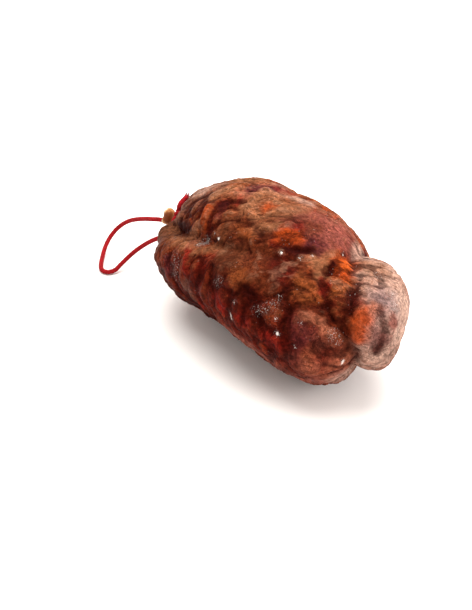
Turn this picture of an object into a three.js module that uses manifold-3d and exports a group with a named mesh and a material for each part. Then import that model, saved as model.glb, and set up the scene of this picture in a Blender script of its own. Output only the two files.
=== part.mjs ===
// A thick dry-cured sausage in natural casing, tied at one end with red cotton string.
// Millimetres, +Z up. The sausage lies along X on z = 0: -X is the tied end, +X the blind end and
// -Y the front.
import * as THREE from 'three';
import { mergeVertices } from 'three/addons/utils/BufferGeometryUtils.js';
import Module from 'manifold-3d';

const wasm = await Module();
wasm.setup();

// The part's origin, seen from the body's: the middle of the sausage with its neck, on the table.
const ORIGIN = new THREE.Vector3(-6.8, 0.8, 0);

// The body's plain form: a blunt, slightly tapering loaf.
const HALF_LENGTH = 91;
const FULLNESS = 0.82; // power of the end rounding: 1 gives an ellipsoid, less gives blunter ends
const GIRTH = [ // x, half width, half height, centre y, centre height
  [-91, 46, 43, 0, 43],
  [-60, 50, 45.5, 0, 43.5],
  [-20, 50, 46.5, 1, 44.5],
  [20, 49, 45.5, 0, 44],
  [55, 45, 41.5, -1, 45],
  [80, 39, 36, 0, 49],
  [91, 36, 34, 1, 50],
];

// Places on the body are given as [x, angle]: the angle runs from the front (0) over the top (90)
// to the back.
// Broad swellings and hollows: place, radius, height.
const SWELLINGS = [
  [[-40, 101], 34, 5.5], // upper lobe
  [[-77, 68], 12, 1.2], // its tied end
  [[-64, -8], 28, 5], // lower lobe at the tied end
  [[-85, 4], 14, 4.5], // its corner beside the furrow
  [[-85, 24], 7, 9.5], // fold of that corner under the neck
  [[-86, 50], 7, -5], // the upper lobe stands back from the neck
  [[-71, -7], 11, 2],
  [[-91, 0], 12, -6], // hollow that the casing's neck comes out of
  [[-24, -33], 30, -6.5], // the belly pulls in above the table
  [[18, -37], 24, -4.5],
  [[50, -16], 26, 2], // front belly
  [[62, -66], 16, 3],
  [[12, 112], 30, 3.5], // smooth bulge on the back
  [[34, 142], 12, -1],
  [[48, 88], 9, 2.5], // small lump in the waist
  [[59, 138], 14, 4.5], // knob at the blind end
  [[72, 140], 16, 3.5],
  [[84, 60], 22, 2],
  [[90, 180], 14, -3.5],
  [[83, -92], 12, 3],
  [[-45, 62], 12, 1.4], // lumps in front
  [[-26, 22], 14, 1.6],
  [[-2, 31], 15, 1.4],
  [[17, 10], 14, 1.8],
  [[26, 30], 11, -1.4],
  [[56, -4], 13, 1.6],
];

// Small lumps of meat and fat under the skin, spread by a spiral.
const LUMPS = 56;
const LUMP_RADIUS = [7, 14];
const LUMP_HEIGHT = [-1.2, 1.6];
const LUMP_TURN = 137.5; // degrees from one lump to the next
const LUMP_REACH = 0.94; // share of the length that has lumps

// Creases and ridges: path over the body, depth (below 0 for a ridge), width, and the share of the
// depth at the start and at the end.
const CREASES = [
  // furrow that the tie pulls in between the two lobes
  [[[-91, 20], [-78, 30], [-52, 39], [-28, 41], [-8, 47], [12, 57], [28, 66]], 13, 6.5, 1, 0.15],
  // waist in front of the knob, over the back
  [[[22, 60], [31, 68], [38, 80], [43, 95], [44, 112], [41, 135], [38, 165]], 6, 5, 0.4, 0.7],
  // deep fold between the front belly and the knob
  [[[69, -112], [71, -84], [78, -50], [81, -10], [77, 14], [71, 34], [62, 44], [54, 54], [45, 61], [47, 73]],
    8, 5.5, 1, 0.3],
  // near edge of the knob
  [[[43, 115], [57, 92], [67, 70], [73, 46], [77, 21], [81, -12]], 5, 5, 0.8, 0.5],
  // shoulder over the back of the upper lobe
  [[[-2, 68], [-4, 80], [-8, 95], [-14, 112], [-19, 126], [-20, 165]], 5, 6, 0.1, 0.6],
  // two raised folds running down from the small lump
  [[[26, 49], [36, 42], [46, 33], [54, 20]], -2.2, 4, 0.4, 0.1],
  [[[44, 64], [50, 56], [57, 50], [63, 41]], -2.6, 3.5, 0.6, 0.2],
  // pleats fanning out from the tie
  [[[-87, 60], [-78, 58], [-64, 60], [-50, 66]], 1.6, 2.6, 1, 0.1],
  [[[-87, 80], [-78, 74], [-64, 76], [-50, 84]], 1.5, 2.6, 1, 0.1],
  [[[-88, 110], [-80, 98], [-68, 100], [-56, 106]], 1.6, 2.8, 1, 0.1],
  [[[-88, -20], [-80, -14], [-70, -8], [-58, -2]], 1.6, 3, 1, 0.1],
  [[[-88, -70], [-80, -50], [-68, -44], [-54, -42]], 1.8, 3, 1, 0.1],
];
const CREASE_ROUNDING = 2.2; // radius that softens the bottom of a crease
const CREASE_STEPS = 48;
const DEGREE = 0.8; // millimetres of skin that a degree of angle is worth

// Rows of vertices along and round the body.
const LENGTH_STEPS = 60;
const GIRTH_STEPS = 72;
const NORMAL_STEP = 1e-3; // radians to either side, for the slope of the plain form
const SAME_POINT = 1e-4; // vertices this close are one

// The casing gathered into a neck at the tied end, and its flared free end.
const NECK_START = new THREE.Vector3(-66, 0.9, 43);
const NECK_END = new THREE.Vector3(-102.5, -7.8, 46.9);
const NECK = [ // share of the way along, radius
  [0, 0], [0, 7], [0.22, 7], [0.41, 5.2], [0.52, 3.7], [0.56, 3.2], [0.82, 3.2], [0.87, 4.6],
  [0.92, 5.5], [0.965, 5.6], [1, 4.6], [0.99, 2.6], [0.95, 0],
];
const NECK_SIDES = 20;
const PLEATS = 5;
const PLEAT_DEPTH = 0.07; // share of the radius

// The string.
const STRING = 3.2; // diameter
const TIE_SHARE = 0.69; // where the windings sit along the neck
const TIE_RADIUS = 5.4; // to the middle of the string
const WINDING_GAP = 3; // between the two windings, which press into each other
const KNOT = new THREE.Vector3(-92, -4.8, 52.4);
const KNOT_SIZE = [2.7, 3.4, 2.4];
const TAILS = [
  [[-92.4, -5.2, 53], [-92.9, -3.6, 57.4], [-93.8, 0.4, 59.2], [-93.4, 3.3, 60.4]],
  [[-93.4, -3.9, 52.8], [-95, -1.7, 55.8], [-95.9, 2.3, 57.6], [-95.7, 5, 60]],
];
// The loop falls from the tie to the table, turns round on it and rises to the tie again.
const LOOP = [
  [-95.6, -2.8, 38.8], [-103, -3, 38.9], [-112.7, -4.6, 37.6], [-121.5, -5.4, 34.4], [-130.5, -5.6, 30.6],
  [-139.2, -5.9, 26.4], [-146.9, -6.8, 22], [-152.4, -9, 17.6], [-155.5, -12.9, 13], [-155.8, -17.8, 8.8],
  [-153.4, -23.3, 5.4], [-149.3, -28.4, 3.1], [-144.2, -33.3, 2], [-138.8, -37.6, 1.8], [-134.2, -39.6, 1.8],
  [-130, -38.2, 1.9], [-127.9, -33.7, 2.6], [-128, -28.6, 4.9], [-127, -23.4, 8.6], [-124.4, -18.8, 13.2],
  [-119.8, -15.3, 18.4], [-113.8, -12.9, 23.8], [-106.6, -11.2, 29.2], [-100, -9, 33.6], [-94.4, -6.4, 37.2],
];
const STRING_SIDES = 8;
const WINDING_STEPS = 28;
const KNOT_STEPS = [12, 8];
const STRING_STEP = 4; // length of tube between two rings of vertices

// Smooth value through the stations xs, ys at x.
function through(xs, ys, x) {
  const last = xs.length - 1;
  const slope = (i) => {
    const a = Math.max(i - 1, 0), b = Math.min(i + 1, last);
    if (a === i || b === i) return (ys[b] - ys[a]) / (xs[b] - xs[a]);
    const before = xs[i] - xs[a], after = xs[b] - xs[i];
    const left = (ys[i] - ys[a]) / before, right = (ys[b] - ys[i]) / after;
    return (left * after + right * before) / (before + after);
  };
  let i = 0;
  while (i < last - 1 && x > xs[i + 1]) i++;
  const h = xs[i + 1] - xs[i], t = THREE.MathUtils.clamp((x - xs[i]) / h, 0, 1), t2 = t * t, t3 = t2 * t;
  return (2 * t3 - 3 * t2 + 1) * ys[i] + (t3 - 2 * t2 + t) * h * slope(i)
    + (3 * t2 - 2 * t3) * ys[i + 1] + (t3 - t2) * h * slope(i + 1);
}

const column = (table, k) => table.map((row) => row[k]);
const GIRTH_X = column(GIRTH, 0);
const GIRTH_COLUMNS = [1, 2, 3, 4].map((k) => column(GIRTH, k));

// Point of the plain form: swing is -90 degrees at the tied end and 90 at the blind end.
function plainPoint(swing, angle) {
  const x = HALF_LENGTH * Math.sin(swing), r = Math.max(Math.cos(swing), 0) ** FULLNESS;
  const [width, height, y, z] = GIRTH_COLUMNS.map((values) => through(GIRTH_X, values, x));
  return new THREE.Vector3(x, y - width * r * Math.cos(angle), z + height * r * Math.sin(angle));
}

function placeOnBody(x, degrees) {
  const swing = Math.asin(THREE.MathUtils.clamp(x / HALF_LENGTH, -1, 1));
  return plainPoint(swing, THREE.MathUtils.degToRad(degrees));
}

function plainNormal(swing, angle) {
  const e = NORMAL_STEP, end = Math.PI / 2 - NORMAL_STEP ** 2;
  if (Math.abs(swing) > end) return new THREE.Vector3(Math.sign(swing), 0, 0);
  const along = plainPoint(Math.min(swing + e, end), angle).sub(plainPoint(Math.max(swing - e, -end), angle));
  const round = plainPoint(swing, angle + e).sub(plainPoint(swing, angle - e));
  return along.cross(round).normalize();
}

// Points along a crease, each with its share of the way.
function creasePoints(path) {
  const way = [0];
  for (let i = 1; i < path.length; i++) {
    way.push(way[i - 1] + Math.hypot(path[i][0] - path[i - 1][0], DEGREE * (path[i][1] - path[i - 1][1])));
  }
  const length = way[way.length - 1], points = [];
  for (let i = 0; i <= CREASE_STEPS; i++) {
    const at = (length * i) / CREASE_STEPS;
    const place = [0, 1].map((k) => through(way, column(path, k), at));
    points.push([placeOnBody(...place), i / CREASE_STEPS]);
  }
  return points;
}

// A draw between low and high for the number i, the same every time.
function draw(i, [low, high]) {
  const wave = Math.sin(i * 12.9898) * 43758.5453;
  return low + (high - low) * (wave - Math.floor(wave));
}

function smallLumps() {
  return Array.from({ length: LUMPS }, (_, i) => {
    const x = HALF_LENGTH * LUMP_REACH * (2 * (i + 0.5) / LUMPS - 1);
    return [[x, i * LUMP_TURN], draw(2 * i + 1, LUMP_RADIUS), draw(2 * i + 2, LUMP_HEIGHT)];
  });
}

const swellings = [...SWELLINGS, ...smallLumps()].map(
  ([place, radius, height]) => [placeOnBody(...place), radius, height]);
const creases = CREASES.map(([path, ...shape]) => [creasePoints(path), ...shape]);

// How far the skin stands off the plain form at p.
function relief(p) {
  let height = 0;
  for (const [centre, radius, up] of swellings) {
    height += up * Math.exp(-p.distanceToSquared(centre) / radius ** 2);
  }
  for (const [points, depth, width, first, last] of creases) {
    let nearest = Infinity, share = 0;
    for (const [q, at] of points) {
      const d = p.distanceTo(q);
      if (d < nearest) {
        nearest = d;
        share = at;
      }
    }
    const away = Math.hypot(nearest, CREASE_ROUNDING) - CREASE_ROUNDING;
    height -= depth * (first + (last - first) * share) * Math.exp(-away / width);
  }
  return height;
}

function skinPoint(swing, angle) {
  const p = plainPoint(swing, angle);
  p.addScaledVector(plainNormal(swing, angle), relief(p));
  p.z = Math.max(p.z, 0); // the soft body settles flat on the table
  return p;
}

function bodyGeometry() {
  const points = [skinPoint(-Math.PI / 2, 0)], faces = [];
  for (let i = 1; i < LENGTH_STEPS; i++) {
    for (let j = 0; j < GIRTH_STEPS; j++) {
      points.push(skinPoint((i / LENGTH_STEPS - 0.5) * Math.PI, (j / GIRTH_STEPS) * 2 * Math.PI));
    }
  }
  points.push(skinPoint(Math.PI / 2, 0));
  const at = (i, j) => 1 + (i - 1) * GIRTH_STEPS + (j % GIRTH_STEPS), end = points.length - 1;
  for (let j = 0; j < GIRTH_STEPS; j++) {
    faces.push(0, at(1, j), at(1, j + 1));
    for (let i = 1; i < LENGTH_STEPS - 1; i++) {
      faces.push(at(i, j), at(i + 1, j + 1), at(i, j + 1), at(i, j), at(i + 1, j), at(i + 1, j + 1));
    }
    faces.push(end, at(LENGTH_STEPS - 1, j + 1), at(LENGTH_STEPS - 1, j));
  }
  const geometry = new THREE.BufferGeometry();
  geometry.setAttribute('position', new THREE.Float32BufferAttribute(points.flatMap((p) => p.toArray()), 3));
  geometry.setIndex(faces);
  return geometry;
}

// Turns the Y axis, round which lathes are made, along the neck.
function alongNeck(geometry, from) {
  const turn = new THREE.Quaternion().setFromUnitVectors(
    new THREE.Vector3(0, 1, 0), NECK_END.clone().sub(NECK_START).normalize());
  return geometry.applyQuaternion(turn).translate(...from.toArray());
}

// Gathered neck of the casing: a turned form whose wall is drawn into pleats.
function neckGeometry() {
  const length = NECK_END.distanceTo(NECK_START);
  const profile = NECK.map(([share, radius]) => new THREE.Vector2(radius, share * length));
  const geometry = new THREE.LatheGeometry(profile, NECK_SIDES);
  const position = geometry.getAttribute('position');
  for (let i = 0; i < position.count; i++) {
    const x = position.getX(i), z = position.getZ(i);
    const pleat = 1 + PLEAT_DEPTH * Math.cos(PLEATS * Math.atan2(z, x));
    position.setXYZ(i, x * pleat, position.getY(i), z * pleat);
  }
  return alongNeck(geometry, NECK_START);
}

function solid(geometry) {
  geometry.deleteAttribute('normal');
  geometry.deleteAttribute('uv');
  const merged = mergeVertices(geometry, SAME_POINT);
  return new wasm.Manifold(new wasm.Mesh({
    numProp: 3,
    vertProperties: new Float32Array(merged.getAttribute('position').array),
    triVerts: new Uint32Array(merged.getIndex().array),
  }));
}

function geometryOf(manifold) {
  const mesh = manifold.getMesh(), geometry = new THREE.BufferGeometry();
  geometry.setAttribute('position', new THREE.BufferAttribute(mesh.vertProperties, 3));
  geometry.setIndex(new THREE.BufferAttribute(mesh.triVerts, 1));
  return geometry;
}

const joined = (first, ...others) => geometryOf(others.reduce((sum, g) => sum.add(solid(g)), solid(first)));

// Tube of string through the points.
function stringGeometry(points) {
  const path = new THREE.CatmullRomCurve3(points.map((p) => new THREE.Vector3(...p)), false, 'centripetal');
  const section = new THREE.Shape();
  for (let i = 0; i < STRING_SIDES; i++) {
    const turn = ((i + 0.5) / STRING_SIDES) * 2 * Math.PI;
    const x = (STRING / 2) * Math.cos(turn), y = (STRING / 2) * Math.sin(turn);
    if (i) section.lineTo(x, y); else section.moveTo(x, y);
  }
  section.closePath();
  return new THREE.ExtrudeGeometry(section, {
    steps: Math.max(2, Math.round(path.getLength() / STRING_STEP)),
    curveSegments: 1,
    bevelEnabled: false,
    extrudePath: path,
  });
}

function windingGeometry(offset) {
  const centre = NECK_START.clone().lerp(NECK_END, TIE_SHARE);
  const ring = new THREE.TorusGeometry(TIE_RADIUS, STRING / 2, STRING_SIDES, WINDING_STEPS);
  return alongNeck(ring.rotateX(Math.PI / 2).translate(0, offset, 0), centre);
}

function knotGeometry() {
  return new THREE.SphereGeometry(1, ...KNOT_STEPS).scale(...KNOT_SIZE).translate(...KNOT.toArray());
}

const casing = new THREE.MeshStandardMaterial({ color: 0x6b3524, roughness: 0.38, metalness: 0 });
const cotton = new THREE.MeshStandardMaterial({ color: 0xa80f1c, roughness: 0.85, metalness: 0 });

function piece(name, geometry, material) {
  const mesh = new THREE.Mesh(geometry, material);
  mesh.name = name;
  return mesh;
}

const model = new THREE.Group();
model.position.copy(ORIGIN).negate();
model.add(
  piece('sausage', joined(bodyGeometry(), neckGeometry()), casing),
  piece('string_tie', joined(windingGeometry(-WINDING_GAP / 2), windingGeometry(WINDING_GAP / 2),
    knotGeometry(), ...TAILS.map(stringGeometry)), cotton),
  piece('string_loop', stringGeometry(LOOP), cotton),
);

export default model;
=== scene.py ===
import math

import bpy
import numpy as np
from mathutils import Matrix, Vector, noise


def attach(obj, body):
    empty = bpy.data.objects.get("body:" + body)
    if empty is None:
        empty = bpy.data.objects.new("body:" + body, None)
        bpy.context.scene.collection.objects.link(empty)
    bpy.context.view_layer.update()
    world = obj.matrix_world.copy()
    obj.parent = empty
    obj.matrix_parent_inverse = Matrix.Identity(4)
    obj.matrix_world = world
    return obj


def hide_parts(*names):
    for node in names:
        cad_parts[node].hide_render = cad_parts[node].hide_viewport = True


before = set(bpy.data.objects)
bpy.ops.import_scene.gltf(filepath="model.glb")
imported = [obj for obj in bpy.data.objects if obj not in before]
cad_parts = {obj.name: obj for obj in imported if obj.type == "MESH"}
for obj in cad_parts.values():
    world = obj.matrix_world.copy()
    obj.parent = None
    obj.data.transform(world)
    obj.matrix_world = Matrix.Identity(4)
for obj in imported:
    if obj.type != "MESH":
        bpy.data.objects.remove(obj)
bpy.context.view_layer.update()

# Sizes are in millimetres, in the sausage's own frame: -X is the tied end, -Y the front, z = 0 the table.
# metres() turns them into the part's frame, whose origin lies at ORIGIN.
ORIGIN = np.array([-6.8, 0.8, 0.0])


def metres(points):
    return (np.asarray(points, float) - ORIGIN) / 1000


# The camera, at the photograph's angle.
IMAGE = (472, 610)
AZIMUTH, ELEVATION = 47.0, 34.0
DISTANCE = 655.0
FOCAL_PIXELS = 1100.0
TARGET = np.array([0.0, 0.0, 44.0])
TARGET_PIXEL = (281, 281)
SENSOR = 36.0


def make_camera():
    turn, lift = math.radians(AZIMUTH), math.radians(ELEVATION)
    back = Vector((math.sin(turn) * math.cos(lift), -math.cos(turn) * math.cos(lift), math.sin(lift)))
    sky = Vector((0, 0, 1))
    # the target is off the frame's middle, so the camera turns away from it
    yaw = math.atan((TARGET_PIXEL[0] - IMAGE[0] / 2) / FOCAL_PIXELS)
    pitch = math.atan((IMAGE[1] / 2 - TARGET_PIXEL[1]) / FOCAL_PIXELS)
    right = (-back).cross(sky).normalized()
    aim = -back * math.cos(yaw) - right * math.sin(yaw)
    up = aim.cross(sky).normalized().cross(aim)
    aim = aim * math.cos(pitch) - up * math.sin(pitch)
    data = bpy.data.cameras.new("camera")
    data.sensor_width = SENSOR
    data.lens = SENSOR * FOCAL_PIXELS / max(IMAGE)
    camera = bpy.data.objects.new("camera", data)
    camera.location = metres(TARGET + np.array(back) * DISTANCE)
    camera.rotation_euler = aim.to_track_quat("-Z", "Y").to_euler()
    bpy.context.scene.collection.objects.link(camera)
    bpy.context.scene.camera = camera


# Meshes and curves

def new_mesh(name, points, faces, material):
    mesh = bpy.data.meshes.new(name)
    mesh.from_pydata(metres(points).tolist(), [], [tuple(map(int, f)) for f in faces])
    mesh.polygons.foreach_set("use_smooth", [True] * len(mesh.polygons))
    mesh.materials.append(material)
    piece = bpy.data.objects.new(name, mesh)
    bpy.context.scene.collection.objects.link(piece)
    return piece


def set_field(piece, name, values):
    """A number for each vertex, which the material reads."""
    field = piece.data.attributes.new(name, "FLOAT", "POINT")
    field.data.foreach_set("value", np.ascontiguousarray(values, dtype=np.float32))


def set_colour(piece, name, colours, alpha):
    """A colour with alpha for each vertex, which the material reads."""
    field = piece.data.color_attributes.new(name, "FLOAT_COLOR", "POINT")
    values = np.concatenate([colours, alpha[:, None]], axis=1)
    field.data.foreach_set("color", np.ascontiguousarray(values.ravel(), dtype=np.float32))


def round_angles(sides):
    return np.arange(sides) / sides * 2 * math.pi


def ring_points(centres, radius, across, up, sides):
    """A ring of points across the route at each centre. radius is one number, or one for each point."""
    angle = round_angles(sides)[None, :, None]
    way = np.cos(angle) * across[:, None] + np.sin(angle) * up[:, None]
    return (centres[:, None] + np.asarray(radius)[..., None] * way).reshape(-1, 3)


def tube_faces(rings, sides, closed=False):
    """Faces between the rings, which either close on themselves or have a cap at both ends."""
    faces = []
    for i in range(rings if closed else rings - 1):
        here, there = i * sides, (i + 1) % rings * sides
        for j in range(sides):
            k = (j + 1) % sides
            faces.append((here + j, here + k, there + k, there + j))
    if not closed:
        faces.append(tuple(reversed(range(sides))))
        faces.append(tuple(range((rings - 1) * sides, rings * sides)))
    return faces


def lengths_along(points, power=1.0):
    """How far along the route each point is, counted in this power of the steps."""
    steps = np.linalg.norm(np.diff(points, axis=0), axis=1)
    return np.concatenate([[0], np.cumsum(steps ** power)])


def hermite(xs, ys, x):
    """Smooth value through the stations xs, ys at x."""
    xs, ys = np.asarray(xs, float), np.asarray(ys, float)
    slopes = np.gradient(ys, xs, axis=0)
    i = np.clip(np.searchsorted(xs, x) - 1, 0, len(xs) - 2)
    h = xs[i + 1] - xs[i]
    t = np.clip((x - xs[i]) / h, 0, 1)
    if ys.ndim > 1:
        h, t = h[..., None], t[..., None]
    return ((2 * t**3 - 3 * t**2 + 1) * ys[i] + (t**3 - 2 * t**2 + t) * h * slopes[i]
            + (3 * t**2 - 2 * t**3) * ys[i + 1] + (t**3 - t**2) * h * slopes[i + 1])


DENSE_STEPS = 60  # for each point of a route, before it is spaced evenly


def smooth_route(points, step):
    """Evenly spaced points on a smooth curve through the points."""
    points = np.asarray(points, float)
    way = lengths_along(points, power=0.5)
    dense = hermite(way, points, np.linspace(0, way[-1], DENSE_STEPS * len(points)))
    along = lengths_along(dense)
    count = max(3, int(round(along[-1] / step)) + 1)
    even = np.linspace(0, along[-1], count)
    return np.stack([np.interp(even, along, dense[:, k]) for k in range(3)], axis=1)


def frames_along(route):
    """Two unit vectors across the route at each point, turning as little as they can."""
    ahead = np.gradient(route, axis=0)
    ahead /= np.linalg.norm(ahead, axis=1, keepdims=True)
    side = np.cross(ahead[0], [0.3, 0.2, 1.0])  # any direction that no route here starts in
    sides = []
    for a in ahead:
        side = side - a * np.dot(side, a)
        side /= np.linalg.norm(side)
        sides.append(side)
    sides = np.array(sides)
    return sides, np.cross(ahead, sides)


# Red cotton string

STRING = 3.2
STRANDS = 3
STRAND_GROOVE = 0.14  # share of the radius
TWIST_PITCH = 8.0  # length in which a strand goes once round
STRING_SIDES = 24
STRING_STEP = 0.6
LOOP = [
    (-95.6, -2.8, 38.8), (-103, -3, 38.9), (-112.7, -4.6, 37.6), (-121.5, -5.4, 34.4),
    (-130.5, -5.6, 30.6), (-139.2, -5.9, 26.4), (-146.9, -6.8, 22), (-152.4, -9, 17.6),
    (-155.5, -12.9, 13), (-155.8, -17.8, 8.8), (-153.4, -23.3, 5.4), (-149.3, -28.4, 3.1),
    (-144.2, -33.3, 2), (-138.8, -37.6, 1.8), (-134.2, -39.6, 1.8), (-130, -38.2, 1.9),
    (-127.9, -33.7, 2.6), (-128, -28.6, 4.9), (-127, -23.4, 8.6), (-124.4, -18.8, 13.2),
    (-119.8, -15.3, 18.4), (-113.8, -12.9, 23.8), (-106.6, -11.2, 29.2), (-100, -9, 33.6),
    (-94.4, -6.4, 37.2),
]


def string_points(route, closed=False):
    """Rings of a twisted string: its outline has a lobe for each strand, which turns along the route."""
    across, up = frames_along(route)
    along = lengths_along(route)
    turns = along[-1] / TWIST_PITCH
    if closed:
        turns = round(turns)
    twist = along / along[-1] * turns * 2 * math.pi
    lobe = np.abs(np.cos((round_angles(STRING_SIDES)[None] - twist[:, None]) * STRANDS / 2))
    radius = STRING / 2 * (1 - STRAND_GROOVE + STRAND_GROOVE * lobe)
    return ring_points(route, radius, across, up, STRING_SIDES)


def string_tube(name, route, material):
    return new_mesh(name, string_points(route), tube_faces(len(route), STRING_SIDES), material)


def make_loop(material):
    route = smooth_route(LOOP, STRING_STEP)
    piece = string_tube("string_loop_twisted", route, material)
    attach(piece, "root")
    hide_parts("string_loop")
    return piece, route, float(lengths_along(route)[-1])


# The tie: two windings round the neck, a knot and two frayed tails.

NECK_START = np.array([-66, 0.9, 43.0])
NECK_END = np.array([-102.5, -7.8, 46.9])
TIE_SHARE = 0.69
TIE_RADIUS = 5.4
WINDING_GAP = 3.0  # between their middle lines
WINDING_STEPS = 160
KNOT = np.array([-92, -4.8, 52.4])
KNOT_SIZE = np.array([0.5, 0.72, 0.5]) * 1.6 / 1.35
KNOT_DEPTH = 1.3
KNOT_STRING = 1.376  # radius of the string, pulled thin
KNOT_STEPS, KNOT_SIDES = 90, 14
TAILS = [
    [(-92.4, -5.2, 53), (-92.9, -3.6, 57.4), (-93.8, 0.4, 59.2), (-93.4, 3.3, 60.4)],
    [(-93.4, -3.9, 52.8), (-95, -1.7, 55.8), (-95.9, 2.3, 57.6), (-95.7, 5, 60)],
]
FRAY_FIBRES = 26
FRAY_LENGTH, FRAY_SHORTEST = 2.6, 0.35  # the longest, and the shortest's share of it
FRAY_RADIUS = 0.16
FRAY_OUT = 0.42  # of the string's thickness, from its middle
FRAY_FLARE = (0.8, 1.7)  # how far out a fibre stands at its root and at its tip
FRAY_CORNER = 2.1  # radians from one edge of a fibre to the next


def neck_axes():
    """Where the neck starts, its length, and three unit vectors: along it and two across it."""
    along = NECK_END - NECK_START
    length = np.linalg.norm(along)
    along = along / length
    across = np.cross(along, [0, 0, 1.0])
    across /= np.linalg.norm(across)
    return NECK_START, length, along, across, np.cross(along, across)


def winding(name, offset, material):
    start, length, along, across, up = neck_axes()
    centre = start + along * (length * TIE_SHARE + offset)
    turn = np.arange(WINDING_STEPS + 1) / WINDING_STEPS * 2 * math.pi
    route = centre + TIE_RADIUS * (np.cos(turn)[:, None] * across + np.sin(turn)[:, None] * up)
    points = string_points(route, closed=True)[:WINDING_STEPS * STRING_SIDES]
    return new_mesh(name, points, tube_faces(WINDING_STEPS, STRING_SIDES, closed=True), material)


def knot(material):
    """A pulled overhand knot: a trefoil squeezed small."""
    t = np.linspace(0, 2 * math.pi, KNOT_STEPS + 1)[:-1]
    trefoil = [np.sin(t) + 2 * np.sin(2 * t), np.cos(t) - 2 * np.cos(2 * t), -KNOT_DEPTH * np.sin(3 * t)]
    route = KNOT + np.stack(trefoil, axis=1) * KNOT_SIZE
    points = ring_points(route, KNOT_STRING, *frames_along(route), KNOT_SIDES)
    return new_mesh("string_knot", points, tube_faces(KNOT_STEPS, KNOT_SIDES, closed=True), material)


def fray(name, tail, material, seed):
    """Loose fibres fanning out of a tail's cut end, each a thin tapering blade with three sides."""
    draw = np.random.default_rng(seed)
    end, before = np.array(tail[-1], float), np.array(tail[-2], float)
    ahead = (end - before) / np.linalg.norm(end - before)
    side = np.cross(ahead, [0.2, 0.1, 1.0])
    side /= np.linalg.norm(side)
    up = np.cross(ahead, side)
    points, faces = [], []
    for _ in range(FRAY_FIBRES):
        turn, out = draw.uniform(0, 2 * math.pi), draw.uniform(0, FRAY_OUT) * STRING
        away = (math.cos(turn) * side + math.sin(turn) * up) * out
        root = end + away * FRAY_FLARE[0] - ahead * 0.5
        tip = end + away * FRAY_FLARE[1] + ahead * FRAY_LENGTH * draw.uniform(FRAY_SHORTEST, 1)
        bend = (root + tip) / 2 + ahead * 0.3
        first = len(points)
        for centre, radius in ((root, FRAY_RADIUS), (bend, FRAY_RADIUS * 0.8)):
            for k in range(3):
                corner = k * FRAY_CORNER
                points.append(centre + radius * (math.cos(corner) * side + math.sin(corner) * up))
        points.append(tip)
        for k in range(3):
            a, b = first + k, first + (k + 1) % 3
            faces += [(a, b, b + 3, a + 3), (a + 3, b + 3, first + 6)]
        faces.append((first + 2, first + 1, first))
    return new_mesh(name, points, faces, material)


def make_tie(material):
    pieces = [
        winding("string_winding_inner", -WINDING_GAP / 2, material),
        winding("string_winding_outer", WINDING_GAP / 2, material),
        knot(material),
    ]
    for k, tail in enumerate(TAILS):
        pieces.append(string_tube(f"string_tail_{k + 1}", smooth_route(tail, STRING_STEP), material))
        pieces.append(fray(f"string_fray_{k + 1}", tail, material, seed=40 + k))
    for piece in pieces:
        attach(piece, "root")
        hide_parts("string_tie")
    return pieces


# The sausage's body: a plain blunt loaf, then swellings, creases, small lumps and the casing's wrinkles.

HALF_LENGTH = 91.0
FULLNESS = 0.82
GIRTH = np.array([  # x, half width, half height, centre y, centre height
    (-91, 46, 43, 0, 43),
    (-60, 50, 45.5, 0, 43.5),
    (-20, 50, 46.5, 1, 44.5),
    (20, 49, 45.5, 0, 44),
    (55, 45, 41.5, -1, 45),
    (80, 39, 36, 0, 49),
    (91, 36, 34, 1, 50),
], float)
SWELLINGS = [  # place as (x, angle), radius, height
    ((-40, 101), 34, 5.5), ((-77, 68), 12, 1.2), ((-64, -8), 28, 5), ((-85, 4), 14, 4.5),
    ((-85, 24), 7, 9.5), ((-86, 50), 7, -5), ((-71, -7), 11, 2), ((-91, 0), 12, -6),
    ((-24, -33), 30, -6.5), ((18, -37), 24, -4.5), ((50, -16), 26, 2), ((62, -66), 16, 3),
    ((12, 112), 30, 3.5), ((34, 142), 12, -1), ((48, 88), 9, 2.5), ((59, 138), 14, 4.5),
    ((72, 140), 16, 3.5), ((84, 60), 22, 2), ((90, 180), 14, -3.5), ((83, -92), 12, 3),
    ((-45, 62), 12, 1.4), ((-26, 22), 14, 1.6), ((-2, 31), 15, 1.4), ((17, 10), 14, 1.8),
    ((26, 30), 11, -1.4), ((56, -4), 13, 1.6),
]
CREASES = [  # path of (x, angle), depth, width, share of the depth at both ends
    ([(-91, 20), (-78, 30), (-52, 39), (-28, 41), (-8, 47), (12, 57), (28, 66)], 13, 6.5, 1, 0.15),
    ([(22, 60), (31, 68), (38, 80), (43, 95), (44, 112), (41, 135), (38, 165)], 6, 5, 0.4, 0.7),
    ([(69, -112), (71, -84), (78, -50), (81, -10), (77, 14), (71, 34), (62, 44), (54, 54), (45, 61),
      (47, 73)], 8, 5.5, 1, 0.3),
    ([(43, 115), (57, 92), (67, 70), (73, 46), (77, 21), (81, -12)], 5, 5, 0.8, 0.5),
    ([(-2, 68), (-4, 80), (-8, 95), (-14, 112), (-19, 126), (-20, 165)], 5, 6, 0.1, 0.6),
    ([(26, 49), (36, 42), (46, 33), (54, 20)], -2.2, 4, 0.4, 0.1),
    ([(44, 64), (50, 56), (57, 50), (63, 41)], -2.6, 3.5, 0.6, 0.2),
    ([(-87, 60), (-78, 58), (-64, 60), (-50, 66)], 1.6, 2.6, 1, 0.1),
    ([(-87, 80), (-78, 74), (-64, 76), (-50, 84)], 1.5, 2.6, 1, 0.1),
    ([(-88, 110), (-80, 98), (-68, 100), (-56, 106)], 1.6, 2.8, 1, 0.1),
    ([(-88, -20), (-80, -14), (-70, -8), (-58, -2)], 1.6, 3, 1, 0.1),
    ([(-88, -70), (-80, -50), (-68, -44), (-54, -42)], 1.8, 3, 1, 0.1),
]
CREASE_ROUNDING = 1.4
CREASE_STEPS = 48
DEGREE = 0.8  # millimetres of skin that a degree of angle is worth
LUMPS = 56
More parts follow.
